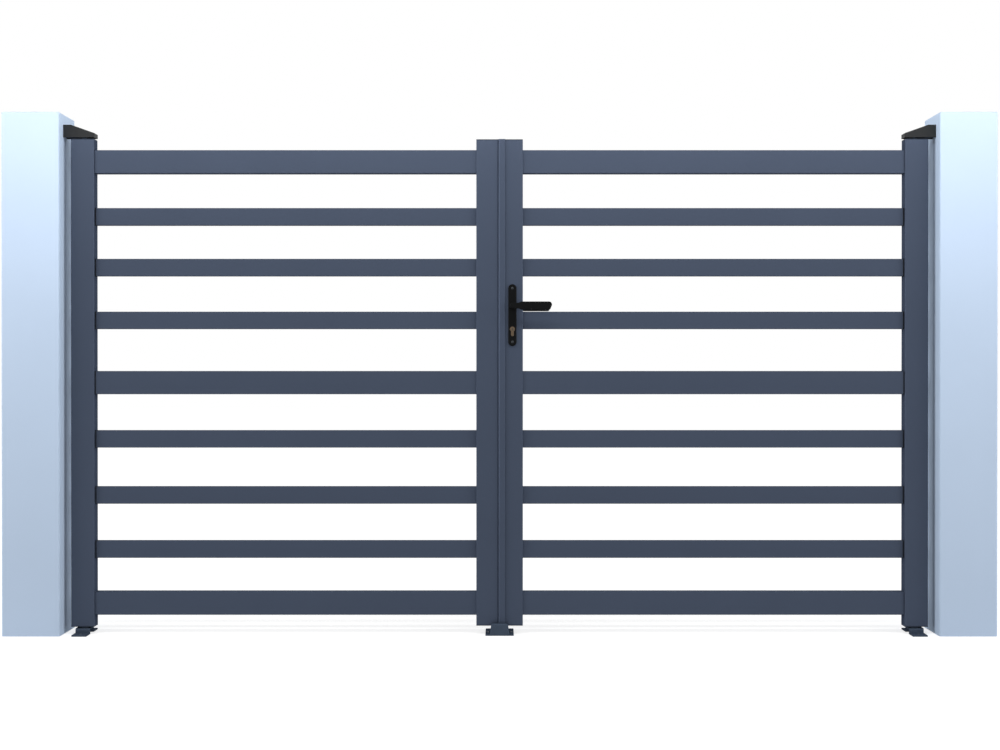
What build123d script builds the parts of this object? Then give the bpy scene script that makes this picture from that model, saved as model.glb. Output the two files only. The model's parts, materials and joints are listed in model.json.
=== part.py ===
from build123d import *
import os

# Double-leaf aluminium swing gate between two rendered pillars, in millimetres.
# X runs along the gate, Y from the street side to the yard side, Z up from the ground.
# The origin is on the ground, in the middle of the passage, in the plane of the hinge axes.

# Passage and pillars
opening = 3000.0
pillar_width = 197.0
pillar_depth = 200.0
pillar_height = 1788.0
pillar_front = 75.0
pillar_arris = 3.0

# Leaves, with hinge stiles that reach a little past the meeting stiles at both ends
leaf_bottom = 29.0
leaf_drop = 87.0
hinge_rise = 2.0
hinge_drop = 4.0
hinge_gap = 26.5
centre_gap = 10.0
frame_margin = 36.0

# Extruded tubes of the leaf frames
hinge_stile_width = 80.0
meeting_stile_width = 75.0
stile_depth = 50.0
stile_wall = 2.0
stile_radius = 2.5
rail_height = 80.0
rail_depth = 35.0
rail_wall = 2.0
rail_bevel = 1.5
slat_height = 60.0
slat_depth = 20.0
slat_wall = 1.5
slat_bevel = 1.5

# Clear spaces above, between and below the slats of a bay, as ratios from the top down
upper_gap_ratios = (1.0, 0.97, 1.03, 1.22)
lower_gap_ratios = (1.05, 1.13, 1.07, 0.975)

# Moulded plugs that close the stile ends, the pivot plugs with a bore
plug_lip = 3.0
plug_core = 14.0
plug_clearance = 0.1
bush_core = 45.0

# Pivot pins
pin_radius = 8.0
pin_clearance = 0.08
pin_engagement = 36.0
bore_spare = 4.0
collar_radius = 15.0
seat_clearance = 0.3

# Floor pivots, bent from flat bar in the shape of an omega
pivot_width = 50.0
pivot_length = 160.0
pivot_crown = 54.0
pivot_height = 20.0
pivot_plate = 5.0
pivot_bend = 6.0
anchor_radius = 5.5

# Top brackets and their moulded covers
bracket_rise = 9.0
bracket_arm = 8.0
bracket_arm_width = 34.0
bracket_arm_corner = 7.0
bracket_plate = 6.0
bracket_plate_width = 40.0
bracket_plate_height = 32.0
bracket_hole_radius = 4.0
bracket_hole_spacing = 22.0
cover_clearance = 5.3
cover_width = 48.0
cover_height = 43.5
cover_flat = 26.0
cover_nose = 14.5
cover_overhang = 1.5
cover_wall = 2.5
cover_edge = 2.5
cover_shoulder = 5.0

# Overlap strip on the left leaf
strip_reach = 24.0
strip_thickness = 3.0
strip_clearance = 5.0
strip_left_radius = 7.5
strip_right_radius = 2.0

# Floor stop in the middle
stop_width = 97.0
stop_front = 61.0
stop_back = 72.0
stop_plate = 4.0
stop_corner = 3.0
stop_lip_bottom = 66.0
stop_lip_top = 58.0
stop_gap = 6.0
stop_lip_height = 40.0
stop_lip_radius = 8.0
stop_lip_edge = 3.0
stop_hole_radius = 4.5
stop_hole_inset = 7.5

# Lock and handle set on the right leaf
backset = 39.0
handle_height = 1128.0
lever_to_cylinder = 79.0
plate_drop = 31.0
plate_width = 28.0
plate_length = 212.0
plate_thickness = 8.0
plate_edge = 2.0
spindle_side = 8.0
spindle_hole_radius = 6.5
spindle_grip = 18.0
lever_length = 140.0
lever_neck = 31.0
lever_neck_height = 20.0
lever_grip_height = 28.0
lever_taper = 10.0
lever_slant = 12.0
lever_thickness = 12.0
lever_standoff = 33.0
lever_edge = 2.5
lever_bend = 3.0
lever_tip_radius = 10.5
lever_heel_radius = 5.0
lever_boss_radius = 9.5
cylinder_radius = 8.5
cylinder_tail = 10.0
cylinder_height = 33.0
cylinder_proud = 3.0
cylinder_clearance = 0.2
lock_case_width = 62.0
lock_case_height = 175.0
lock_case_depth = 15.0
faceplate_width = 22.0
faceplate_height = 235.0
latch_height = 16.0
latch_width = 12.0
latch_rise = 20.0
bolt_height = 34.0
bolt_drop = 22.0
latch_recess = 1.5
lock_clearance = 0.15

# Places worked out from the sizes above
pillar_face = opening / 2
hinge_x = pillar_face - hinge_gap - hinge_stile_width / 2
leaf_top = pillar_height - leaf_drop
hinge_top = leaf_top + hinge_rise
hinge_foot = leaf_bottom - hinge_drop
meeting_edge = centre_gap / 2
meeting_x = meeting_edge + meeting_stile_width / 2
bar_inner = meeting_edge + meeting_stile_width
bar_outer = hinge_x - hinge_stile_width / 2
stile_face = stile_depth / 2
top_rail_z = leaf_top - frame_margin - rail_height / 2
bottom_rail_z = leaf_bottom + frame_margin + rail_height / 2
middle_rail_z = (top_rail_z + bottom_rail_z) / 2
lock_x = meeting_edge + backset
cylinder_z = handle_height - lever_to_cylinder
plate_z = handle_height - plate_drop
strip_back = stile_face + strip_clearance
strip_front = strip_back + strip_thickness
plate_face = stile_face + plate_thickness


def save(name, shape):
    export_step(shape, f"parts/{name}.step")


# Rendered masonry pillar
def pillar(side):
    block = Box(pillar_width, pillar_depth, pillar_height, align=(Align.CENTER, Align.MIN, Align.MIN))
    exposed = block.edges().filter_by(Axis.Z) + block.faces().sort_by(Axis.Z)[-1].edges()
    block = chamfer(exposed, pillar_arris)
    return Pos(side * (pillar_face + pillar_width / 2), -pillar_front, 0) * block


# Upright tube of a leaf, between the lips of its end plugs
def stile(width, x_middle, bottom, top):
    section = RectangleRounded(width, stile_depth, stile_radius)
    section -= Rectangle(width - 2 * stile_wall, stile_depth - 2 * stile_wall)
    return Pos(x_middle, 0, bottom + plug_lip) * extrude(section, top - bottom - 2 * plug_lip)


def hinge_stile(side):
    return stile(hinge_stile_width, side * hinge_x, hinge_foot, hinge_top)


def meeting_stile(side):
    return stile(meeting_stile_width, side * meeting_x, leaf_bottom, leaf_top)


# Level tube of a leaf, cut square between the two stiles
def bar(side, z_middle, height, depth, wall, bevel):
    outline = Rectangle(depth, height)
    section = chamfer(outline.vertices(), bevel) - Rectangle(depth - 2 * wall, height - 2 * wall)
    x_start = min(side * bar_inner, side * bar_outer)
    start = Plane(origin=(x_start, 0, z_middle), x_dir=(0, 1, 0), z_dir=(1, 0, 0))
    return extrude(start * section, bar_outer - bar_inner)


def rail(side, z_middle):
    return bar(side, z_middle, rail_height, rail_depth, rail_wall, rail_bevel)


def slat(side, z_middle):
    return bar(side, z_middle, slat_height, slat_depth, slat_wall, slat_bevel)


# Heights of the slats in the bay between two rails
def slat_heights(upper_rail_z, lower_rail_z, ratios):
    count = len(ratios) - 1
    bay = upper_rail_z - lower_rail_z - rail_height
    unit = (bay - count * slat_height) / sum(ratios)
    heights = []
    z = upper_rail_z - rail_height / 2
    for ratio in ratios[:-1]:
        z -= ratio * unit + slat_height
        heights.append(z + slat_height / 2)
    return heights


# Plug for the lower end of a stile, with its lip from Z zero upwards
def end_plug(width, core_height):
    lip = extrude(RectangleRounded(width, stile_depth, stile_radius), plug_lip)
    margin = 2 * (stile_wall + plug_clearance)
    core = extrude(Rectangle(width - margin, stile_depth - margin), core_height)
    return lip + Pos(0, 0, plug_lip) * core


# Lower and upper plug of one stile, both facing inwards
def plug_pair(plug, x_middle, bottom, top):
    lower = Pos(x_middle, 0, bottom) * plug
    upper = Pos(x_middle, 0, top) * Rot(180, 0, 0) * plug
    return Compound([lower, upper])


def pivot_bushes(side):
    bore_depth = pin_engagement + bore_spare
    standing = (Align.CENTER, Align.CENTER, Align.MIN)
    bore = Cylinder(pin_radius + pin_clearance, bore_depth, align=standing)
    bush = end_plug(hinge_stile_width, bush_core) - bore
    return plug_pair(bush, side * hinge_x, hinge_foot, hinge_top)


def stile_caps(side):
    cap = end_plug(meeting_stile_width, plug_core)
    return plug_pair(cap, side * meeting_x, leaf_bottom, leaf_top)


# Floor pivot, an omega of flat bar with a collar and a pin for the leaf
def floor_pivot(side):
    reach = pivot_length / 2
    crown = pivot_crown / 2
    inside = crown - pivot_plate
    outline = [
        (-reach, 0),
        (-reach, pivot_plate),
        (-crown, pivot_plate),
        (-crown, pivot_height),
        (crown, pivot_height),
        (crown, pivot_plate),
        (reach, pivot_plate),
        (reach, 0),
        (inside, 0),
        (inside, pivot_height - pivot_plate),
        (-inside, pivot_height - pivot_plate),
        (-inside, 0),
    ]
    start = Plane(origin=(-pivot_width / 2, 0, 0), x_dir=(0, 1, 0), z_dir=(1, 0, 0))
    omega = extrude(start * make_face(Polyline(*outline, close=True)), pivot_width)
    crown_bends = omega.edges().filter_by(Axis.X).group_by(Axis.Z)[-1]
    omega = fillet(crown_bends, pivot_bend)
    foot_edges = omega.edges().filter_by(Axis.X).group_by(Axis.Z)[0]
    foot_bends = foot_edges.filter_by_position(Axis.Y, -inside, inside)
    omega = fillet(foot_bends, pivot_bend - pivot_plate)
    flange_middle = (reach + crown) / 2
    for y in (-flange_middle, flange_middle):
        omega -= Pos(0, y, pivot_plate / 2) * Cylinder(anchor_radius, 2 * pivot_plate)
    standing = (Align.CENTER, Align.CENTER, Align.MIN)
    collar_height = hinge_foot - seat_clearance - pivot_height
    pin_height = hinge_foot + pin_engagement - pivot_height
    collar = Cylinder(collar_radius, collar_height, align=standing)
    pin = Cylinder(pin_radius, pin_height, align=standing)
    return Pos(side * hinge_x, 0, 0) * (omega + Pos(0, 0, pivot_height) * (collar + pin))


# Shapes modelled on the left pillar face, with X zero there, and mirrored for the right
def on_pillar(shape, side):
    left = Pos(-pillar_face, 0, 0) * shape
    return left if side < 0 else mirror(left, about=Plane.YZ)


# Top bracket, a wall plate with an arm and a pin that points down into the leaf
def top_bracket(side):
    arm_z = hinge_top + bracket_rise
    axis_x = pillar_face - hinge_x
    low = (Align.MIN, Align.CENTER, Align.MIN)
    plate = Box(bracket_plate, bracket_plate_width, bracket_plate_height, align=low)
    hole = Rot(0, 90, 0) * Cylinder(bracket_hole_radius, 2 * bracket_plate)
    hole_z = (bracket_plate_height + bracket_arm) / 2
    for y in (-bracket_hole_spacing / 2, bracket_hole_spacing / 2):
        plate -= Pos(bracket_plate / 2, y, hole_z) * hole
    arm = Box(axis_x + bracket_arm_width / 2, bracket_arm_width, bracket_arm, align=low)
    arm = chamfer(arm.edges().filter_by(Axis.Z).group_by(Axis.X)[-1], bracket_arm_corner)
    pin_length = bracket_rise + pin_engagement
    pin = Pos(axis_x, 0, -pin_length / 2) * Cylinder(pin_radius, pin_length)
    return on_pillar(Pos(0, 0, arm_z) * (plate + arm + pin), side)


# Wedge-shaped moulded cover over the top bracket, open below and towards the pillar
def bracket_cover(side):
    reach = hinge_gap + hinge_stile_width + cover_overhang
    outer_points = [
        (0, 0),
        (0, cover_height),
        (cover_flat, cover_height),
        (reach, cover_nose),
        (reach, 0),
    ]
    inner_points = [
        (-cover_wall, -cover_wall),
        (-cover_wall, cover_height),
        (cover_flat, cover_height),
        (reach, cover_nose),
        (reach, -cover_wall),
    ]
    outer_profile = make_face(Polyline(*outer_points, close=True))
    inner_profile = make_face(Polyline(*inner_points, close=True))
    inner_profile = offset(inner_profile, -cover_wall, kind=Kind.INTERSECTION)
    shell = extrude(Plane.XZ * outer_profile, cover_width / 2, both=True)
    shoulder = shell.edges().filter_by(Axis.Y).group_by(Axis.Z)[-1].sort_by(Axis.X)[-1]
    shell = fillet(shoulder, cover_shoulder)
    sides = shell.faces().sort_by(Axis.Y)
    rim = sides[0].edges() + sides[-1].edges()
    rim = rim.filter_by(lambda e: e.center().X > cover_edge and e.center().Z > cover_edge)
    nose_top = shell.edges().filter_by(Axis.Y).group_by(Axis.X)[-1].sort_by(Axis.Z)[-1]
    shell = fillet(rim + [nose_top], cover_edge)
    hollow = extrude(Plane.XZ * inner_profile, cover_width / 2 - cover_wall, both=True)
    return on_pillar(Pos(0, 0, hinge_top + cover_clearance) * (shell - hollow), side)


# Openings for the latch and the bolt, in the plane of the gate
def latch_openings(depth):
    latch = Pos(0, 0, plate_z + latch_rise) * Box(depth, latch_width, latch_height)
    bolt = Pos(0, 0, cylinder_z - bolt_drop) * Box(depth, latch_width, bolt_height)
    return latch + bolt


# Overlap strip, an angle screwed to the closing edge of the left leaf
def meeting_strip():
    left = -meeting_edge
    right = left + strip_reach
    outline = [
        (left, -strip_front),
        (right, -strip_front),
        (right, -strip_back),
        (left + strip_thickness, -strip_back),
        (left + strip_thickness, stile_face),
        (left, stile_face),
    ]
    section = make_face(Polyline(*outline, close=True))
    inner_corner = section.vertices().group_by(Axis.Y)[1].sort_by(Axis.X)[0]
    section = fillet(inner_corner, strip_left_radius - strip_thickness)
    nose = section.vertices().group_by(Axis.Y)[0].sort_by(Axis.X)
    section = fillet(nose[-1], strip_right_radius)
    nose = section.vertices().group_by(Axis.Y)[0].sort_by(Axis.X)
    section = fillet(nose[0], strip_left_radius)
    strip = Pos(0, 0, leaf_bottom) * extrude(section, leaf_top - leaf_bottom)
    leg_x = left + strip_thickness / 2
    return strip - Pos(leg_x, 0, 0) * latch_openings(2 * strip_thickness)


# Floor stop, a base plate with a raised front lip
def floor_stop():
    depth = stop_front + stop_back
    middle_y = (stop_back - stop_front) / 2
    outline = Rectangle(stop_width, depth)
    base = Pos(0, middle_y, 0) * extrude(chamfer(outline.vertices(), stop_corner), stop_plate)
    hole_x = stop_width / 2 - stop_hole_inset
    for x in (-hole_x, hole_x):
        base -= Pos(x, 0, stop_plate / 2) * Cylinder(stop_hole_radius, 2 * stop_plate)
    lip_points = [
        (-stop_lip_bottom / 2, 0),
        (stop_lip_bottom / 2, 0),
        (stop_lip_top / 2, stop_lip_height),
        (-stop_lip_top / 2, stop_lip_height),
    ]
    face = make_face(Polyline(*lip_points, close=True))
    face = fillet(face.vertices().group_by(Axis.Y)[-1], stop_lip_radius)
    lip_depth = stop_front - strip_front - stop_gap
    lip = extrude(Plane.XZ.offset(stop_front) * face, -lip_depth)
    front_edges = lip.faces().sort_by(Axis.Y)[0].edges().filter_by(lambda e: e.center().Z > stop_plate)
    return base + chamfer(front_edges, stop_lip_edge)


# Outline of a profile lock cylinder, round above with a narrow tail below
def cylinder_outline(clearance):
    tail_drop = cylinder_height - cylinder_radius - cylinder_tail / 2
    tail = Pos(0, -tail_drop / 2) * Rectangle(cylinder_tail + 2 * clearance, tail_drop)
    tail_end = Pos(0, -tail_drop) * Circle(cylinder_tail / 2 + clearance)
    return Circle(cylinder_radius + clearance) + tail + tail_end


# Cuts for the spindle and the lock cylinder, through everything they pass
def lock_cuts():
    reach = plate_face + cylinder_proud
    spindle_face = Pos(lock_x, handle_height) * Circle(spindle_hole_radius)
    spindle_cut = extrude(Plane.XZ * spindle_face, reach, both=True)
    cylinder_face = Pos(lock_x, cylinder_z) * cylinder_outline(cylinder_clearance)
    return spindle_cut + extrude(Plane.XZ * cylinder_face, reach, both=True)


def lock_cylinder():
    face = Pos(lock_x, cylinder_z) * cylinder_outline(0)
    return extrude(Plane.XZ * face, plate_face + cylinder_proud, both=True)


# Right meeting stile, cut for the lock
def lock_stile():
    blank = meeting_stile(1)
    slot_width = faceplate_width + 2 * lock_clearance
    slot_height = faceplate_height + 2 * lock_clearance
    slot = Pos(meeting_edge, 0, plate_z) * Box(2 * stile_wall, slot_width, slot_height)
    return blank - lock_cuts() - slot


# Mortise lock, a flush faceplate with the latch and bolt openings, and its case
def mortise_lock():
    low = (Align.MIN, Align.CENTER, Align.CENTER)
    faceplate = Box(stile_wall, faceplate_width, faceplate_height, align=low)
    case = Pos(stile_wall, 0, 0) * Box(lock_case_width, lock_case_depth, lock_case_height, align=low)
    lock = Pos(meeting_edge, 0, plate_z) * (faceplate + case)
    return lock - Pos(meeting_edge, 0, 0) * latch_openings(2 * latch_recess) - lock_cuts()


# Long handle plate with full round ends, on the street side
def handle_plate():
    face = Pos(lock_x, plate_z) * SlotOverall(plate_length, plate_width, rotation=90)
    plate = extrude(Plane.XZ.offset(stile_face) * face, plate_thickness)
    rim = plate.faces().sort_by(Axis.Y)[0].edges()
    return chamfer(rim, plate_edge) - lock_cuts()


# Lever with a slim neck, a tall flat grip and a slanted end, on the street side
def handle_lever():
    neck = lever_neck_height / 2
    grip = lever_grip_height / 2
    outline = [
        (0, neck),
        (lever_neck - lever_taper, neck),
        (lever_neck, grip),
        (lever_length, grip),
        (lever_length - lever_slant, -grip),
        (lever_neck, -grip),
        (lever_neck - lever_taper, -neck),
        (0, -neck),
    ]
    face = make_face(Polyline(*outline, close=True))
    bends = face.vertices().filter_by_position(Axis.X, lever_neck - lever_taper, lever_neck)
    face = fillet(bends, lever_bend)
    face = fillet(face.vertices().sort_by(Axis.X)[-1], lever_tip_radius)
    face = fillet(face.vertices().group_by(Axis.Y)[0].sort_by(Axis.X)[-1], lever_heel_radius)
    face += Circle(neck)
    back = plate_face + lever_standoff
    handle = extrude(Plane.XZ.offset(back) * Pos(lock_x, handle_height) * face, lever_thickness)
    rims = handle.faces().sort_by(Axis.Y)[0].edges() + handle.faces().sort_by(Axis.Y)[-1].edges()
    handle = chamfer(rims, lever_edge)
    seat = Plane.XZ.offset(plate_face + seat_clearance) * Pos(lock_x, handle_height)
    boss_length = lever_standoff - seat_clearance + lever_thickness / 2
    handle += extrude(seat * Circle(lever_boss_radius), boss_length)
    return handle - extrude(seat * Rectangle(spindle_side, spindle_side), spindle_grip)


def handle_spindle():
    reach = plate_face + seat_clearance + spindle_grip
    face = Pos(lock_x, handle_height) * Rectangle(spindle_side, spindle_side)
    return extrude(Plane.XZ * face, reach, both=True)


os.makedirs("parts", exist_ok=True)

# Both pillars, their hinges and the two leaves
for name, side in (("left", -1), ("right", 1)):
    save(f"{name}_pillar", pillar(side))
    save(f"{name}_top_bracket", top_bracket(side))
    save(f"{name}_bracket_cover", bracket_cover(side))
    save(f"{name}_floor_pivot", floor_pivot(side))
    save(f"{name}_hinge_stile", hinge_stile(side))
    save(f"{name}_pivot_bushes", pivot_bushes(side))
    save(f"{name}_stile_caps", stile_caps(side))
    save(f"{name}_top_rail", rail(side, top_rail_z))
    save(f"{name}_middle_rail", rail(side, middle_rail_z))
    save(f"{name}_bottom_rail", rail(side, bottom_rail_z))
    for number, z in enumerate(slat_heights(top_rail_z, middle_rail_z, upper_gap_ratios), 1):
        save(f"{name}_upper_slat_{number}", slat(side, z))
    for number, z in enumerate(slat_heights(middle_rail_z, bottom_rail_z, lower_gap_ratios), 1):
        save(f"{name}_lower_slat_{number}", slat(side, z))

# Pieces where the leaves meet
save("left_meeting_stile", meeting_stile(-1))
save("meeting_strip", meeting_strip())
save("right_meeting_stile", lock_stile())
save("floor_stop", floor_stop())

# Lock and handle set, with the same plate and lever on the yard side
save("mortise_lock", mortise_lock())
save("lock_cylinder", lock_cylinder())
save("front_handle_plate", handle_plate())
save("rear_handle_plate", mirror(handle_plate(), about=Plane.XZ))
save("front_lever", handle_lever())
save("rear_lever", mirror(handle_lever(), about=Plane.XZ))
save("handle_spindle", handle_spindle())
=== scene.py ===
import json
import math

import bmesh
import bpy
from mathutils import Matrix, Vector


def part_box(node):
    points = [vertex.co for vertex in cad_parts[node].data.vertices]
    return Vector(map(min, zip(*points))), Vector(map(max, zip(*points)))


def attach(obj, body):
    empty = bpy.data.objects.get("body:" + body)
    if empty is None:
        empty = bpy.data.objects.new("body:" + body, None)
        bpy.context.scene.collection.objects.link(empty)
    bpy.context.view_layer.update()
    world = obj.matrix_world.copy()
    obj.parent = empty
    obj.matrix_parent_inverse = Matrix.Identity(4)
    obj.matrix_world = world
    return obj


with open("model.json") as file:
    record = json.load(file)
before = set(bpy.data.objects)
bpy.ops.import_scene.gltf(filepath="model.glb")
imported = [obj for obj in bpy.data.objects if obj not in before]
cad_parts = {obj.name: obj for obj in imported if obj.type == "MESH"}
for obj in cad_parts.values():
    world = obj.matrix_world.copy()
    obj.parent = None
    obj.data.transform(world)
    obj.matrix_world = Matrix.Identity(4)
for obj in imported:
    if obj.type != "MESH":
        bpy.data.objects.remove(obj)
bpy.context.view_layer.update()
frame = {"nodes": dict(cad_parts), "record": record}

# Pillars: two plain masonry posts that carry the gate, built up in block and finished with a smooth
# mineral render, floated flat and painted a cold white. The arrises are left sharp.


def linear(hex_colour):
    channels = []
    for start in (1, 3, 5):
        share = int(hex_colour[start:start + 2], 16) / 255
        channels.append(share / 12.92 if share <= 0.04045 else ((share + 0.055) / 1.055) ** 2.4)
    return (*channels, 1.0)


def add(tree, kind, settings=None, links=None):
    node = tree.nodes.new(kind)
    for name, value in (settings or {}).items():
        if name in node.inputs:
            node.inputs[name].default_value = value
        else:
            setattr(node, name, value)
    for name, socket in (links or {}).items():
        tree.links.new(socket, node.inputs[name])
    return node


def new_material(name):
    material = bpy.data.materials.new(name)
    material.use_nodes = True
    material.node_tree.nodes.clear()
    return material, material.node_tree


def finish_nodes(material, names):
    for name in names:
        for material_slot in frame["nodes"][name].material_slots:
            material_slot.material = material


# Painted mineral render: chalky and matt, with a floated grain that barely catches the light and
# broad, very faint clouds where the coat dried unevenly. The grain is drawn 4 mm wide so it shows.
# The noise span is where most values of a noise texture lie, here and in the other materials.
noise_span = {"From Min": 0.3, "From Max": 0.7}
render_grain = 0.004
render_clouds = 0.35
painted_render, tree = new_material("painted_mineral_render")
place = add(tree, "ShaderNodeTexCoord")
clouds = add(tree, "ShaderNodeTexNoise", {"Scale": 1 / render_clouds, "Detail": 3.0},
             {"Vector": place.outputs["Object"]})
tone = add(tree, "ShaderNodeMapRange", {**noise_span, "To Min": 0.985, "To Max": 1.015},
           {"Value": clouds.outputs["Fac"]})
colour = add(tree, "ShaderNodeHueSaturation", {"Color": linear("#d1e4fc")},
             {"Value": tone.outputs["Result"]})
grain = add(tree, "ShaderNodeTexNoise",
            {"Scale": 1 / render_grain, "Detail": 4.0, "Roughness": 0.6},
            {"Vector": place.outputs["Object"]})
bump = add(tree, "ShaderNodeBump", {"Strength": 0.25, "Distance": 0.001},
           {"Height": grain.outputs["Fac"]})
shader = add(tree, "ShaderNodeBsdfPrincipled", {"Roughness": 0.9, "Specular IOR Level": 0.1},
             {"Base Color": colour.outputs["Color"], "Normal": bump.outputs["Normal"]})
add(tree, "ShaderNodeOutputMaterial", links={"Surface": shader.outputs["BSDF"]})
finish_nodes(painted_render, ("left_pillar", "right_pillar"))

# Floor pivots, top brackets and the floor stop: bent and welded from steel flat, zinc-coated and
# then powder-coated dark grey. They are anchored to the ground and to the pillars.

# Powder coat over steel: a dark satin skin with a pebbled surface, drawn 1.5 mm wide so it shows,
# and a little rougher in patches where boots and rain have dulled it. It has no white glare at low
# angles, so the specular level is nil.
steel_pebble = 0.0015
steel_patches = 0.03
coated_steel, tree = new_material("powder_coated_steel")
place = add(tree, "ShaderNodeTexCoord")
pebble = add(tree, "ShaderNodeTexNoise", {"Scale": 1 / steel_pebble, "Detail": 2.0},
             {"Vector": place.outputs["Object"]})
patches = add(tree, "ShaderNodeTexNoise", {"Scale": 1 / steel_patches, "Detail": 4.0},
              {"Vector": place.outputs["Object"]})
dullness = add(tree, "ShaderNodeMapRange",
               {**noise_span, "From Min": 0.35, "To Min": 0.42, "To Max": 0.6},
               {"Value": patches.outputs["Fac"]})
tone = add(tree, "ShaderNodeMapRange", {**noise_span, "To Min": 0.93, "To Max": 1.07},
           {"Value": patches.outputs["Fac"]})
colour = add(tree, "ShaderNodeHueSaturation", {"Color": linear("#4a5565")},
             {"Value": tone.outputs["Result"]})
bump = add(tree, "ShaderNodeBump", {"Strength": 0.15, "Distance": 0.0003},
           {"Height": pebble.outputs["Fac"]})
shader = add(tree, "ShaderNodeBsdfPrincipled",
             {"Metallic": 0.2, "Specular IOR Level": 0.0, "Specular Tint": (0.1, 0.1, 0.1, 1.0)},
             {"Base Color": colour.outputs["Color"], "Roughness": dullness.outputs["Result"],
              "Normal": bump.outputs["Normal"]})
add(tree, "ShaderNodeOutputMaterial", links={"Surface": shader.outputs["BSDF"]})
finish_nodes(coated_steel, ("left_floor_pivot", "right_floor_pivot", "left_top_bracket",
                            "right_top_bracket", "floor_stop"))

# Anchor screws: countersunk zinc-plated screws with a hexagon socket, sunk flush in the flanges of
# the floor pivots and the floor stop. One is modelled and copied to every anchor hole.

# A face counts as facing along an axis where its normal's part in that axis is past this value, and
# edges flatter than the smooth angle are shaded round.
facing = 0.99
smooth_angle = math.radians(35)


def pick_faces(wanted):
    bpy.ops.mesh.select_mode(type="FACE")
    bpy.ops.mesh.select_all(action="DESELECT")
    mesh = bmesh.from_edit_mesh(bpy.context.edit_object.data)
    for face in mesh.faces:
        if wanted(face.normal):
            face.select_set(True)
    bmesh.update_edit_mesh(bpy.context.edit_object.data)


def take_up(piece):
    bpy.ops.object.select_all(action="DESELECT")
    bpy.context.view_layer.objects.active = piece
    piece.select_set(True)


def cut_with(piece, cutter):
    take_up(piece)
    cut = piece.modifiers.new("cut", "BOOLEAN")
    cut.object = cutter
    cut.solver = "EXACT"
    bpy.ops.object.modifier_apply(modifier=cut.name)
    bpy.data.objects.remove(cutter)


def settle(piece):
    take_up(piece)
    bpy.ops.object.transform_apply(location=True, rotation=True, scale=True)
    bpy.ops.object.shade_smooth_by_angle(angle=smooth_angle)


def copy_at(pattern, name, placing):
    piece = pattern.copy()
    piece.data = pattern.data.copy()
    piece.name = name
    piece.data.transform(placing)
    bpy.context.scene.collection.objects.link(piece)
    return piece


# Zinc plating: a pale grey metal, dulled by weather, with a fine frosting drawn 0.4 mm wide that
# breaks up its shine.
zinc_frosting = 0.0004
zinc_plate, tree = new_material("zinc_plated_steel")
place = add(tree, "ShaderNodeTexCoord")
frosting = add(tree, "ShaderNodeTexNoise", {"Scale": 1 / zinc_frosting, "Detail": 2.0},
               {"Vector": place.outputs["Object"]})
dullness = add(tree, "ShaderNodeMapRange", {**noise_span, "To Min": 0.35, "To Max": 0.5},
               {"Value": frosting.outputs["Fac"]})
bump = add(tree, "ShaderNodeBump", {"Strength": 0.1, "Distance": 0.0001},
           {"Height": frosting.outputs["Fac"]})
shader = add(tree, "ShaderNodeBsdfPrincipled", {"Base Color": linear("#7d838a"), "Metallic": 1.0},
             {"Roughness": dullness.outputs["Result"], "Normal": bump.outputs["Normal"]})
add(tree, "ShaderNodeOutputMaterial", links={"Surface": shader.outputs["BSDF"]})

anchor_head = 0.0041
anchor_shank = 0.0024
anchor_cone = 0.0022
anchor_length = 0.0035
anchor_edge = 0.0003
socket_radius = 0.0022
socket_depth = 0.0014
hole_fill = 0.96
bpy.ops.object.select_all(action="DESELECT")
bpy.ops.mesh.primitive_cylinder_add(vertices=32, radius=anchor_head, depth=anchor_cone,
                                    location=(0, 0, -anchor_cone / 2))
anchor = bpy.context.object
bpy.ops.object.transform_apply(location=True, rotation=True, scale=True)
bpy.ops.object.mode_set(mode="EDIT")
pick_faces(lambda normal: normal.z < -facing)
taper = anchor_shank / anchor_head
bpy.ops.transform.resize(value=(taper, taper, 1))
bpy.ops.mesh.extrude_region_move(
    TRANSFORM_OT_translate={"value": (0, 0, anchor_cone - anchor_length)})
pick_faces(lambda normal: normal.z > facing)
bpy.ops.mesh.bevel(offset=anchor_edge, segments=2)
bpy.ops.object.mode_set(mode="OBJECT")
bpy.ops.mesh.primitive_cylinder_add(vertices=6, radius=socket_radius, depth=2 * socket_depth)
cut_with(anchor, bpy.context.object)
settle(anchor)
anchor.data.materials.append(zinc_plate)
mounts = {mount["name"]: mount for mount in frame["record"]["mounts"]}
for mount_name in ("left_pivot_anchors", "right_pivot_anchors", "floor_stop_anchors"):
    middle = Vector(mounts[mount_name]["pos_m"])
    holes = mounts[mount_name]["dims"]
    spacing = Vector((holes.get("spacing_x_mm", 0), holes.get("spacing_y_mm", 0), 0)) / 1000
    size = Matrix.Scale(hole_fill * holes["hole_r_mm"] / 1000 / anchor_head, 4)
    for number, spot in enumerate((middle - spacing / 2, middle + spacing / 2), 1):
        screw = copy_at(anchor, f"{mount_name}_screw_{number}", Matrix.Translation(spot) @ size)
        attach(screw, "posts")
bpy.data.objects.remove(anchor)

# Bracket covers: wedge-shaped hoods that hide the top brackets, moulded in black polyamide and
# pushed over the bracket until they meet the pillar.

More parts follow.
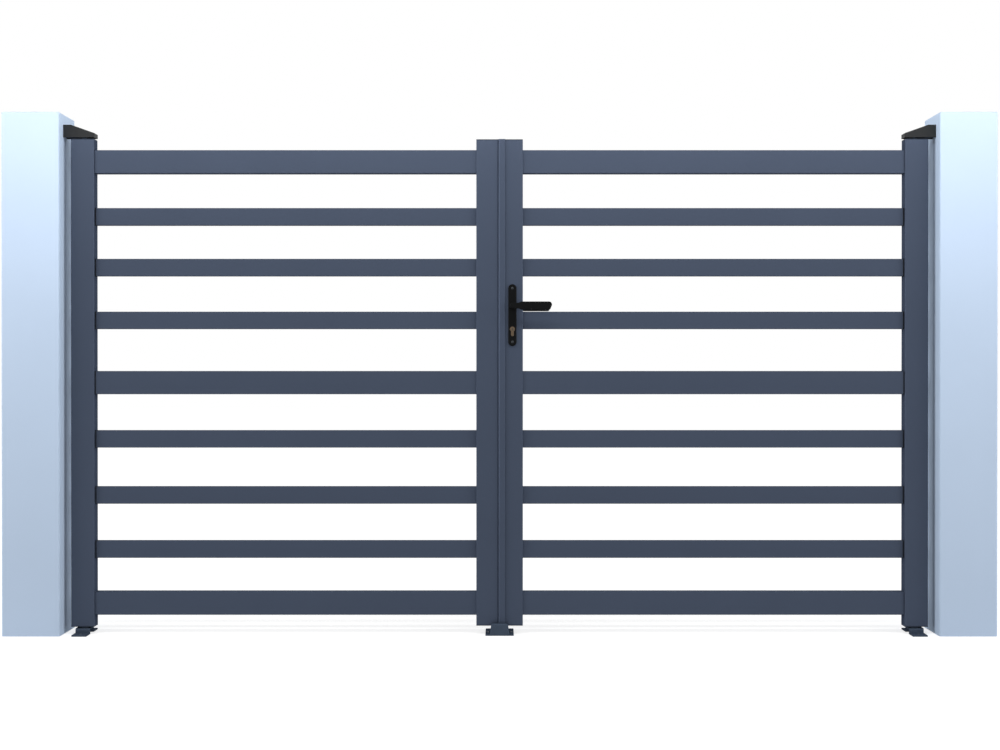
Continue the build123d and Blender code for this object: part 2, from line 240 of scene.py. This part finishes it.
# Moulded polyamide: near black, with the fine spark-eroded grain of its mould, drawn 1.2 mm wide
# so it shows, which spreads the light into a broad dull sheen.
cover_grain = 0.0012
cover_plastic, tree = new_material("moulded_polyamide")
place = add(tree, "ShaderNodeTexCoord")
grain = add(tree, "ShaderNodeTexVoronoi", {"Scale": 1 / cover_grain},
            {"Vector": place.outputs["Object"]})
bump = add(tree, "ShaderNodeBump", {"Strength": 0.2, "Distance": 0.0002},
           {"Height": grain.outputs["Distance"]})
dullness = add(tree, "ShaderNodeMapRange",
               {"From Min": 0.0, "From Max": 0.8, "To Min": 0.42, "To Max": 0.56},
               {"Value": grain.outputs["Distance"]})
shader = add(tree, "ShaderNodeBsdfPrincipled",
             {"Base Color": linear("#2f3031"), "Specular IOR Level": 0.1},
             {"Roughness": dullness.outputs["Result"], "Normal": bump.outputs["Normal"]})
add(tree, "ShaderNodeOutputMaterial", links={"Surface": shader.outputs["BSDF"]})
finish_nodes(cover_plastic, ("left_bracket_cover", "right_bracket_cover"))

# Leaf frames: each leaf is a hinge stile, a meeting stile, three rails and six slats, all extruded
# aluminium tube cut square, screwed together from inside the stiles and powder-coated as one.

# Fine-texture powder coat with a little aluminium flake: a cold anthracite skin, matt but for a
# soft metallic sheen on its rounded edges. Its grit is 0.3 mm across on the real tube and is drawn
# 2.2 mm wide so it shows, with broad faint clouds of film thickness. The grit kills the white glare
# at low angles, so the specular level is nil and the tint of the flake is dark.
coat_grit = 0.0022
coat_clouds = 0.25
powder_coat, tree = new_material("powder_coated_aluminium")
place = add(tree, "ShaderNodeTexCoord")
clouds = add(tree, "ShaderNodeTexNoise", {"Scale": 1 / coat_clouds, "Detail": 3.0},
             {"Vector": place.outputs["Object"]})
tone = add(tree, "ShaderNodeMapRange", {**noise_span, "To Min": 0.98, "To Max": 1.02},
           {"Value": clouds.outputs["Fac"]})
colour = add(tree, "ShaderNodeHueSaturation", {"Color": linear("#495263")},
             {"Value": tone.outputs["Result"]})
grit = add(tree, "ShaderNodeTexNoise", {"Scale": 1 / coat_grit, "Detail": 3.0, "Roughness": 0.6},
           {"Vector": place.outputs["Object"]})
dullness = add(tree, "ShaderNodeMapRange", {**noise_span, "To Min": 0.38, "To Max": 0.46},
               {"Value": grit.outputs["Fac"]})
bump = add(tree, "ShaderNodeBump", {"Strength": 0.22, "Distance": 0.0004},
           {"Height": grit.outputs["Fac"]})
shader = add(tree, "ShaderNodeBsdfPrincipled",
             {"Metallic": 0.4, "Specular IOR Level": 0.0, "Specular Tint": (0.25, 0.25, 0.25, 1.0)},
             {"Base Color": colour.outputs["Color"], "Roughness": dullness.outputs["Result"],
              "Normal": bump.outputs["Normal"]})
add(tree, "ShaderNodeOutputMaterial", links={"Surface": shader.outputs["BSDF"]})
slats = [f"{bay}_slat_{number}" for bay in ("upper", "lower") for number in (1, 2, 3)]
rails = ["top_rail", "middle_rail", "bottom_rail"]
for side in ("left", "right"):
    for name in [*slats, *rails, "hinge_stile", "meeting_stile"]:
        finish_nodes(powder_coat, (f"{side}_{name}",))

# Stile plugs: polyamide plugs pressed into the stile ends. Those of the hinge stiles carry the
# bushes that the pivot pins turn in. They are moulded in the colour of the coat.

# Coloured polyamide: the gate's anthracite, a shade darker, with a smooth, slightly waxy skin. Its
# faint unevenness is drawn 2 mm wide so it shows.
plug_skin = 0.002
plug_plastic, tree = new_material("coloured_polyamide")
place = add(tree, "ShaderNodeTexCoord")
skin = add(tree, "ShaderNodeTexNoise", {"Scale": 1 / plug_skin, "Detail": 2.0},
           {"Vector": place.outputs["Object"]})
dullness = add(tree, "ShaderNodeMapRange", {**noise_span, "To Min": 0.4, "To Max": 0.5},
               {"Value": skin.outputs["Fac"]})
bump = add(tree, "ShaderNodeBump", {"Strength": 0.08, "Distance": 0.0002},
           {"Height": skin.outputs["Fac"]})
shader = add(tree, "ShaderNodeBsdfPrincipled",
             {"Base Color": linear("#343c49"), "Specular IOR Level": 0.1},
             {"Roughness": dullness.outputs["Result"], "Normal": bump.outputs["Normal"]})
add(tree, "ShaderNodeOutputMaterial", links={"Surface": shader.outputs["BSDF"]})
finish_nodes(plug_plastic, ("left_pivot_bushes", "right_pivot_bushes",
                            "left_stile_caps", "right_stile_caps"))

# End collars: black rubber collars pushed over the ends of the slats and of the middle rail where
# they meet the hinge stile. Their black is painted shade, standing in for the shadow in the joint.

# Moulded rubber: a dead black with hardly any shine and a fine grain, drawn 1.5 mm wide. Its dead
# black is painted shade for the dark joints.
rubber_grain = 0.0015
joint_shade_rubber, tree = new_material("black_rubber_joint_shade")
place = add(tree, "ShaderNodeTexCoord")
grain = add(tree, "ShaderNodeTexNoise", {"Scale": 1 / rubber_grain, "Detail": 2.0},
            {"Vector": place.outputs["Object"]})
bump = add(tree, "ShaderNodeBump", {"Strength": 0.15, "Distance": 0.0002},
           {"Height": grain.outputs["Fac"]})
shader = add(tree, "ShaderNodeBsdfPrincipled",
             {"Base Color": linear("#0d0f12"), "Roughness": 0.8, "Specular IOR Level": 0.2},
             {"Normal": bump.outputs["Normal"]})
add(tree, "ShaderNodeOutputMaterial", links={"Surface": shader.outputs["BSDF"]})

seal_width = 0.0034
seal_wall = 0.0011
seal_proud = 0.0006
seal_edge = 0.0004


def block(size, middle=(0, 0, 0)):
    bpy.ops.object.select_all(action="DESELECT")
    bpy.ops.mesh.primitive_cube_add(size=1, location=middle)
    piece = bpy.context.object
    piece.scale = size
    bpy.ops.object.transform_apply(location=True, rotation=True, scale=True)
    return piece


def joint_shade_collar(bar_name):
    low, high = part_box(bar_name)
    bar = high - low
    seal = block((seal_width, bar.y + 2 * seal_proud, bar.z + 2 * seal_proud))
    bpy.ops.object.mode_set(mode="EDIT")
    pick_faces(lambda normal: abs(normal.x) > facing)
    bpy.ops.mesh.inset(thickness=seal_wall, use_boundary=True)
    bpy.ops.mesh.bridge_edge_loops()
    bpy.ops.object.mode_set(mode="OBJECT")
    edge = seal.modifiers.new("edge", "BEVEL")
    edge.width = seal_edge
    edge.segments = 2
    bpy.ops.object.modifier_apply(modifier=edge.name)
    settle(seal)
    seal.data.materials.append(joint_shade_rubber)
    return seal


slat_shade_collar = joint_shade_collar("left_upper_slat_1")
rail_shade_collar = joint_shade_collar("left_middle_rail")
for side, outwards in (("left", -1), ("right", 1)):
    for name in [*slats, "middle_rail"]:
        low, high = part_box(f"{side}_{name}")
        spot = (low + high) / 2
        spot.x += outwards * (high.x - low.x - seal_width) / 2
        pattern = rail_shade_collar if name == "middle_rail" else slat_shade_collar
        seal = copy_at(pattern, f"{side}_{name}_joint_shade_collar", Matrix.Translation(spot))
        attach(seal, f"{side}_leaf")
bpy.data.objects.remove(slat_shade_collar)
bpy.data.objects.remove(rail_shade_collar)

# Overlap strip: an extruded aluminium angle with a rounded nose, screwed to the closing edge of the
# left leaf, so that it covers the gap between the leaves. It is coated with them.
finish_nodes(powder_coat, ("meeting_strip",))

# Mortise lock: a steel case inside the right meeting stile, with a brushed stainless faceplate let
# in flush with the closing edge. The square spindle of the levers passes through it.

# Brushed stainless steel: pale and bright, with fine upright scratches drawn 0.5 mm wide and fifty
# times as long.
scratch_width = 0.0005
scratch_stretch = 50
brushed_steel, tree = new_material("brushed_stainless_steel")
place = add(tree, "ShaderNodeTexCoord")
upright = add(tree, "ShaderNodeMapping", {"Scale": (1.0, 1.0, 1 / scratch_stretch)},
              {"Vector": place.outputs["Object"]})
scratches = add(tree, "ShaderNodeTexNoise", {"Scale": 1 / scratch_width, "Detail": 3.0},
                {"Vector": upright.outputs["Vector"]})
dullness = add(tree, "ShaderNodeMapRange", {**noise_span, "To Min": 0.25, "To Max": 0.45},
               {"Value": scratches.outputs["Fac"]})
bump = add(tree, "ShaderNodeBump", {"Strength": 0.08, "Distance": 0.0001},
           {"Height": scratches.outputs["Fac"]})
shader = add(tree, "ShaderNodeBsdfPrincipled", {"Base Color": linear("#a9adb1"), "Metallic": 1.0},
             {"Roughness": dullness.outputs["Result"], "Normal": bump.outputs["Normal"]})
add(tree, "ShaderNodeOutputMaterial", links={"Surface": shader.outputs["BSDF"]})
finish_nodes(brushed_steel, ("mortise_lock", "handle_spindle"))

# Latch and bolt: a bevelled latch and a square bolt with two grooves, both of the lock's steel,
# which lie drawn back in the openings of the faceplate.
lock_low, lock_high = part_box("mortise_lock")
lock_middle = (lock_low.z + lock_high.z) / 2
opening_width = 0.012
latch_opening = 0.016
bolt_opening = 0.034
latch_rise = 0.020
bolt_drop = 0.070
latch_play = 0.0003
latch_sunk = 0.0002
latch_thick = 0.0013
latch_edge = 0.0002
latch_nose = 0.3
latch_width = opening_width - 2 * latch_play
latch_height = latch_opening - 2 * latch_play
bolt_height = bolt_opening - 2 * latch_play
groove_depth = 0.0006
groove_width = 0.0015
groove_offset = 0.006
latch_x = lock_low.x + latch_sunk + latch_thick / 2

latch = block((latch_thick, latch_width, latch_height))
latch.name = "lock_latch"
bpy.ops.object.mode_set(mode="EDIT")
pick_faces(lambda normal: normal.y > facing)
bpy.ops.transform.resize(value=(latch_nose, 1, 1), center_override=(latch_thick / 2, 0, 0))
bpy.ops.mesh.select_all(action="SELECT")
bpy.ops.mesh.bevel(offset=latch_edge, segments=2)
bpy.ops.object.mode_set(mode="OBJECT")
latch.location = (latch_x, 0, lock_middle + latch_rise)

bolt = block((latch_thick, latch_width, bolt_height))
bolt.name = "lock_bolt"
bpy.ops.object.mode_set(mode="EDIT")
bpy.ops.mesh.select_all(action="SELECT")
bpy.ops.mesh.bevel(offset=latch_edge, segments=2)
bpy.ops.object.mode_set(mode="OBJECT")
for height in (-groove_offset, groove_offset):
    groove = block((2 * groove_depth, 2 * latch_width, groove_width), (-latch_thick / 2, 0, height))
    cut_with(bolt, groove)
bolt.location = (latch_x, 0, lock_middle - bolt_drop)
for piece in (latch, bolt):
    settle(piece)
    piece.data.materials.append(brushed_steel)
    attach(piece, "right_leaf")

# Faceplate screws: raised countersunk heads with a cross slot, zinc-plated. Two hold the lock's
# faceplate in the stile. The handle plates below have the same heads in black.
screw_radius = 0.0040
screw_rise = 0.0008
screw_sunk = 0.0006
cross_width = 0.0011
cross_length = 0.0048
cross_depth = 0.0012
face_screw_inset = 0.011
bpy.ops.object.select_all(action="DESELECT")
bpy.ops.mesh.primitive_cylinder_add(vertices=40, radius=screw_radius, depth=screw_sunk,
                                    location=(0, 0, -screw_sunk / 2))
screw_head = bpy.context.object
bpy.ops.object.transform_apply(location=True, rotation=True, scale=True)
bpy.ops.object.mode_set(mode="EDIT")
# The dome rises in three steps, each a share of the radius inwards and a share of the rise upwards.
for inwards, upwards in ((0.16, 0.55), (0.26, 0.25), (0.26, 0.25)):
    pick_faces(lambda normal: normal.z > facing)
    bpy.ops.mesh.inset(thickness=screw_radius * inwards)
    bpy.ops.transform.translate(value=(0, 0, screw_rise * upwards))
bpy.ops.object.mode_set(mode="OBJECT")
for arm in ((cross_length, cross_width), (cross_width, cross_length)):
    cut_with(screw_head, block((*arm, 2 * cross_depth), (0, 0, screw_rise)))
settle(screw_head)
screw_head.data.materials.append(zinc_plate)
sideways = Matrix.Rotation(math.radians(-90), 4, "Y")
screw_heights = (lock_low.z + face_screw_inset, lock_high.z - face_screw_inset)
for number, height in enumerate(screw_heights, 1):
    placing = Matrix.Translation((lock_low.x, 0, height)) @ sideways
    screw = copy_at(screw_head, f"faceplate_screw_{number}", placing)
    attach(screw, "right_leaf")

# Lock cylinder: a profile cylinder of nickel-plated brass that passes through the stile and both
# handle plates, held by one screw through the faceplate.

# Nickel-plated brass: a warm grey metal with a fine satin grain, drawn 0.4 mm wide.
brass_grain = 0.0004
nickel_brass, tree = new_material("nickel_plated_brass")
place = add(tree, "ShaderNodeTexCoord")
grain = add(tree, "ShaderNodeTexNoise", {"Scale": 1 / brass_grain, "Detail": 2.0},
            {"Vector": place.outputs["Object"]})
dullness = add(tree, "ShaderNodeMapRange", {**noise_span, "To Min": 0.3, "To Max": 0.45},
               {"Value": grain.outputs["Fac"]})
bump = add(tree, "ShaderNodeBump", {"Strength": 0.1, "Distance": 0.0001},
           {"Height": grain.outputs["Fac"]})
shader = add(tree, "ShaderNodeBsdfPrincipled", {"Base Color": linear("#5e5143"), "Metallic": 1.0},
             {"Roughness": dullness.outputs["Result"], "Normal": bump.outputs["Normal"]})
add(tree, "ShaderNodeOutputMaterial", links={"Surface": shader.outputs["BSDF"]})
finish_nodes(nickel_brass, ("lock_cylinder",))

# Cylinder plugs: the turning core of the cylinder, a brass disc that stands a little proud of each
# end, with the stepped slot for the key.

# Blackened steel, as on the screws of the handle plates: a dark oiled oxide over bare metal, a
# shade lighter than a black coat, its shine mottled 0.4 mm wide. On the floor of the shallow keyway
# it is painted shade, standing in for the darkness deep in the slot.
oxide_mottle = 0.0004
blackened_steel_and_keyway_shade, tree = new_material("blackened_steel_and_keyway_shade")
place = add(tree, "ShaderNodeTexCoord")
mottle = add(tree, "ShaderNodeTexNoise", {"Scale": 1 / oxide_mottle, "Detail": 2.0},
             {"Vector": place.outputs["Object"]})
dullness = add(tree, "ShaderNodeMapRange", {**noise_span, "To Min": 0.35, "To Max": 0.5},
               {"Value": mottle.outputs["Fac"]})
shader = add(tree, "ShaderNodeBsdfPrincipled", {"Base Color": linear("#3f4245"), "Metallic": 1.0},
             {"Roughness": dullness.outputs["Result"]})
add(tree, "ShaderNodeOutputMaterial", links={"Surface": shader.outputs["BSDF"]})

plug_radius = 0.0066
plug_thick = 0.0012
plug_edge = 0.0003
keyway_width = 0.0018
keyway_height = 0.0086
keyway_step = 0.0009
keyway_depth = 0.0005
cylinder_low, cylinder_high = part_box("lock_cylinder")
cylinder_radius = (cylinder_high.x - cylinder_low.x) / 2
plug_x = cylinder_low.x + cylinder_radius
plug_z = cylinder_high.z - cylinder_radius
plug_front = -plug_thick / 2
bpy.ops.object.select_all(action="DESELECT")
bpy.ops.mesh.primitive_cylinder_add(vertices=48, radius=plug_radius, depth=plug_thick,
                                    rotation=(math.radians(90), 0, 0))
plug = bpy.context.object
bpy.ops.object.transform_apply(location=True, rotation=True, scale=True)
bpy.ops.object.mode_set(mode="EDIT")
pick_faces(lambda normal: normal.y < -facing)
bpy.ops.mesh.bevel(offset=plug_edge, segments=2)
bpy.ops.object.mode_set(mode="OBJECT")
for shift, height in ((0, keyway_height), (keyway_step, keyway_height / 2)):
    middle = (shift, plug_front, (height - keyway_height) / 2)
    cut_with(plug, block((keyway_width, 2 * keyway_depth, height), middle))
settle(plug)
plug.data.materials.append(nickel_brass)
plug.data.materials.append(blackened_steel_and_keyway_shade)
# The floor of the keyway takes the dark steel as painted shade for the depth of the slot.
for face in plug.data.polygons:
    if face.normal.y < -facing and face.center.y > plug_front + keyway_depth / 2:
        face.material_index = 1
for name, face_y, turn in (("front", cylinder_low.y, 0), ("rear", cylinder_high.y, 180)):
    outwards = Matrix.Rotation(math.radians(turn), 4, "Z")
    placing = Matrix.Translation((plug_x, face_y, plug_z)) @ outwards
    piece = copy_at(plug, f"{name}_cylinder_plug", placing)
    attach(piece, "right_leaf")
bpy.data.objects.remove(plug)

# Handle set: a long plate on each side of the stile and a flat lever on each end of the spindle,
# cast in aluminium and powder-coated black. The plates are screwed through the stile to each other.

# Black powder coat on cast aluminium: a deep black with a soft satin sheen and a fine grit, drawn
# 1 mm wide so it shows, and smoother in patches where hands rub it.
handle_grit = 0.001
handle_patches = 0.04
black_coat, tree = new_material("black_powder_coat")
place = add(tree, "ShaderNodeTexCoord")
grit = add(tree, "ShaderNodeTexNoise", {"Scale": 1 / handle_grit, "Detail": 2.0},
           {"Vector": place.outputs["Object"]})
patches = add(tree, "ShaderNodeTexNoise", {"Scale": 1 / handle_patches, "Detail": 3.0},
              {"Vector": place.outputs["Object"]})
dullness = add(tree, "ShaderNodeMapRange", {**noise_span, "To Min": 0.32, "To Max": 0.48},
               {"Value": patches.outputs["Fac"]})
bump = add(tree, "ShaderNodeBump", {"Strength": 0.1, "Distance": 0.0002},
           {"Height": grit.outputs["Fac"]})
shader = add(tree, "ShaderNodeBsdfPrincipled",
             {"Base Color": linear("#0e0f10"), "Specular IOR Level": 0.06},
             {"Roughness": dullness.outputs["Result"], "Normal": bump.outputs["Normal"]})
add(tree, "ShaderNodeOutputMaterial", links={"Surface": shader.outputs["BSDF"]})
finish_nodes(black_coat, ("front_handle_plate", "rear_handle_plate", "front_lever", "rear_lever"))

plate_screw_inset = 0.014
for name, turn in (("front", 90), ("rear", -90)):
    low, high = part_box(f"{name}_handle_plate")
    face_y = low.y if name == "front" else high.y
    outwards = Matrix.Rotation(math.radians(turn), 4, "X")
    for number, height in enumerate((low.z + plate_screw_inset, high.z - plate_screw_inset), 1):
        placing = Matrix.Translation(((low.x + high.x) / 2, face_y, height)) @ outwards
        screw = copy_at(screw_head, f"{name}_plate_screw_{number}", placing)
        screw.data.materials[0] = blackened_steel_and_keyway_shade
        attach(screw, "right_leaf")
bpy.data.objects.remove(screw_head)

# Studio floor and backdrop: a plain pale floor, a hair below the feet of the gate, and all round it
# a white sky, which the gate itself gets only a third of as light.


def seen_rays(tree):
    path = add(tree, "ShaderNodeLightPath")
    mirrored = add(tree, "ShaderNodeMath", {"operation": "MAXIMUM"},
                   {0: path.outputs["Is Glossy Ray"], 1: path.outputs["Is Transmission Ray"]})
    return add(tree, "ShaderNodeMath", {"operation": "MAXIMUM"},
               {0: path.outputs["Is Camera Ray"], 1: mirrored.outputs["Value"]})


floor_side = 60.0
floor_drop = 0.0005
bpy.ops.object.select_all(action="DESELECT")
bpy.ops.mesh.primitive_plane_add(size=floor_side, location=(0, 0, -floor_drop))
floor = bpy.context.object
floor.name = "studio_floor"

# Floor paint: matt and pale. To the eye, and in reflections, it glows a little as well, and more so
# far out where the lamps don't reach. That lifts the lit floor to white and leaves a faint shadow.
near_glow = 0.66
far_glow = 0.76
glow_reach = 8.0
floor_paint, tree = new_material("studio_floor_paint")
place = add(tree, "ShaderNodeTexCoord")
reach = add(tree, "ShaderNodeVectorMath", {"operation": "LENGTH"}, {0: place.outputs["Object"]})
lift = add(tree, "ShaderNodeMapRange",
           {"From Max": glow_reach, "To Min": near_glow, "To Max": far_glow},
           {"Value": reach.outputs["Value"]})
dull_matt = add(tree, "ShaderNodeBsdfDiffuse", {"Color": linear("#b4b4b4")})
pale_matt = add(tree, "ShaderNodeBsdfDiffuse", {"Color": linear("#d9d9d9")})
glow = add(tree, "ShaderNodeEmission", {"Color": linear("#ffffff")},
           {"Strength": lift.outputs["Result"]})
lifted = add(tree, "ShaderNodeAddShader",
             links={0: pale_matt.outputs["BSDF"], 1: glow.outputs["Emission"]})
choice = add(tree, "ShaderNodeMixShader",
             links={0: seen_rays(tree).outputs["Value"], 1: dull_matt.outputs["BSDF"],
                    2: lifted.outputs["Shader"]})
add(tree, "ShaderNodeOutputMaterial", links={"Surface": choice.outputs["Shader"]})
floor.data.materials.append(floor_paint)

sky_fill = 0.37
sky_seen = 1.0
scene = bpy.context.scene
scene.view_settings.view_transform = "Standard"
world = bpy.data.worlds.new("studio")
world.use_nodes = True
scene.world = world
tree = world.node_tree
tree.nodes.clear()
strength = add(tree, "ShaderNodeMapRange", {"To Min": sky_fill, "To Max": sky_seen},
               {"Value": seen_rays(tree).outputs["Value"]})
sky = add(tree, "ShaderNodeBackground", {"Color": linear("#ffffff")},
          {"Strength": strength.outputs["Result"]})
add(tree, "ShaderNodeOutputWorld", links={"Surface": sky.outputs["Background"]})

# Studio lamps: one long soft lamp above the front of the gate, a broad one on each side in front of
# it, and a weaker one on each side behind. The camera doesn't see them.
lamp_length = 5.0
top_height = 0.3
top_place = (0, -1.0, 2.25)
top_tilt = 60
top_power = 30
side_height = 2.4
side_reach = 6.8
side_offset = 2.5
side_rise = 1.6
front_turn = 70
front_power = 172
rear_turn = 110
rear_power = 55


def soft_lamp(name, middle, turn, height, power):
    lamp = bpy.data.lights.new(name, "AREA")
    lamp.shape = "RECTANGLE"
    lamp.size = lamp_length
    lamp.size_y = height
    lamp.energy = power
    light = bpy.data.objects.new(name, lamp)
    light.location = middle
    light.rotation_euler = [math.radians(angle) for angle in turn]
    light.visible_camera = False
    scene.collection.objects.link(light)


soft_lamp("top_light", top_place, (top_tilt, 0, 0), top_height, top_power)
for end, depth, turn, power in (("front", -side_offset, front_turn, front_power),
                                ("rear", side_offset, rear_turn, rear_power)):
    for side, sign in (("left", -1), ("right", 1)):
        soft_lamp(f"{side}_{end}_light", (sign * side_reach, depth, side_rise),
                  (90, 0, sign * turn), side_height, power)

# Camera: at eye height in front of the middle of the passage, a touch below level, as the
# photograph was taken.
camera_place = (0.0014, -5.525, 0.913)
camera_dip = 0.2265
eye = bpy.data.cameras.new("camera")
eye.sensor_width = 36.0
eye.lens = 57.6
camera = bpy.data.objects.new("camera", eye)
camera.location = camera_place
camera.rotation_euler = (math.radians(90 - camera_dip), 0, 0)
scene.collection.objects.link(camera)
scene.camera = camera
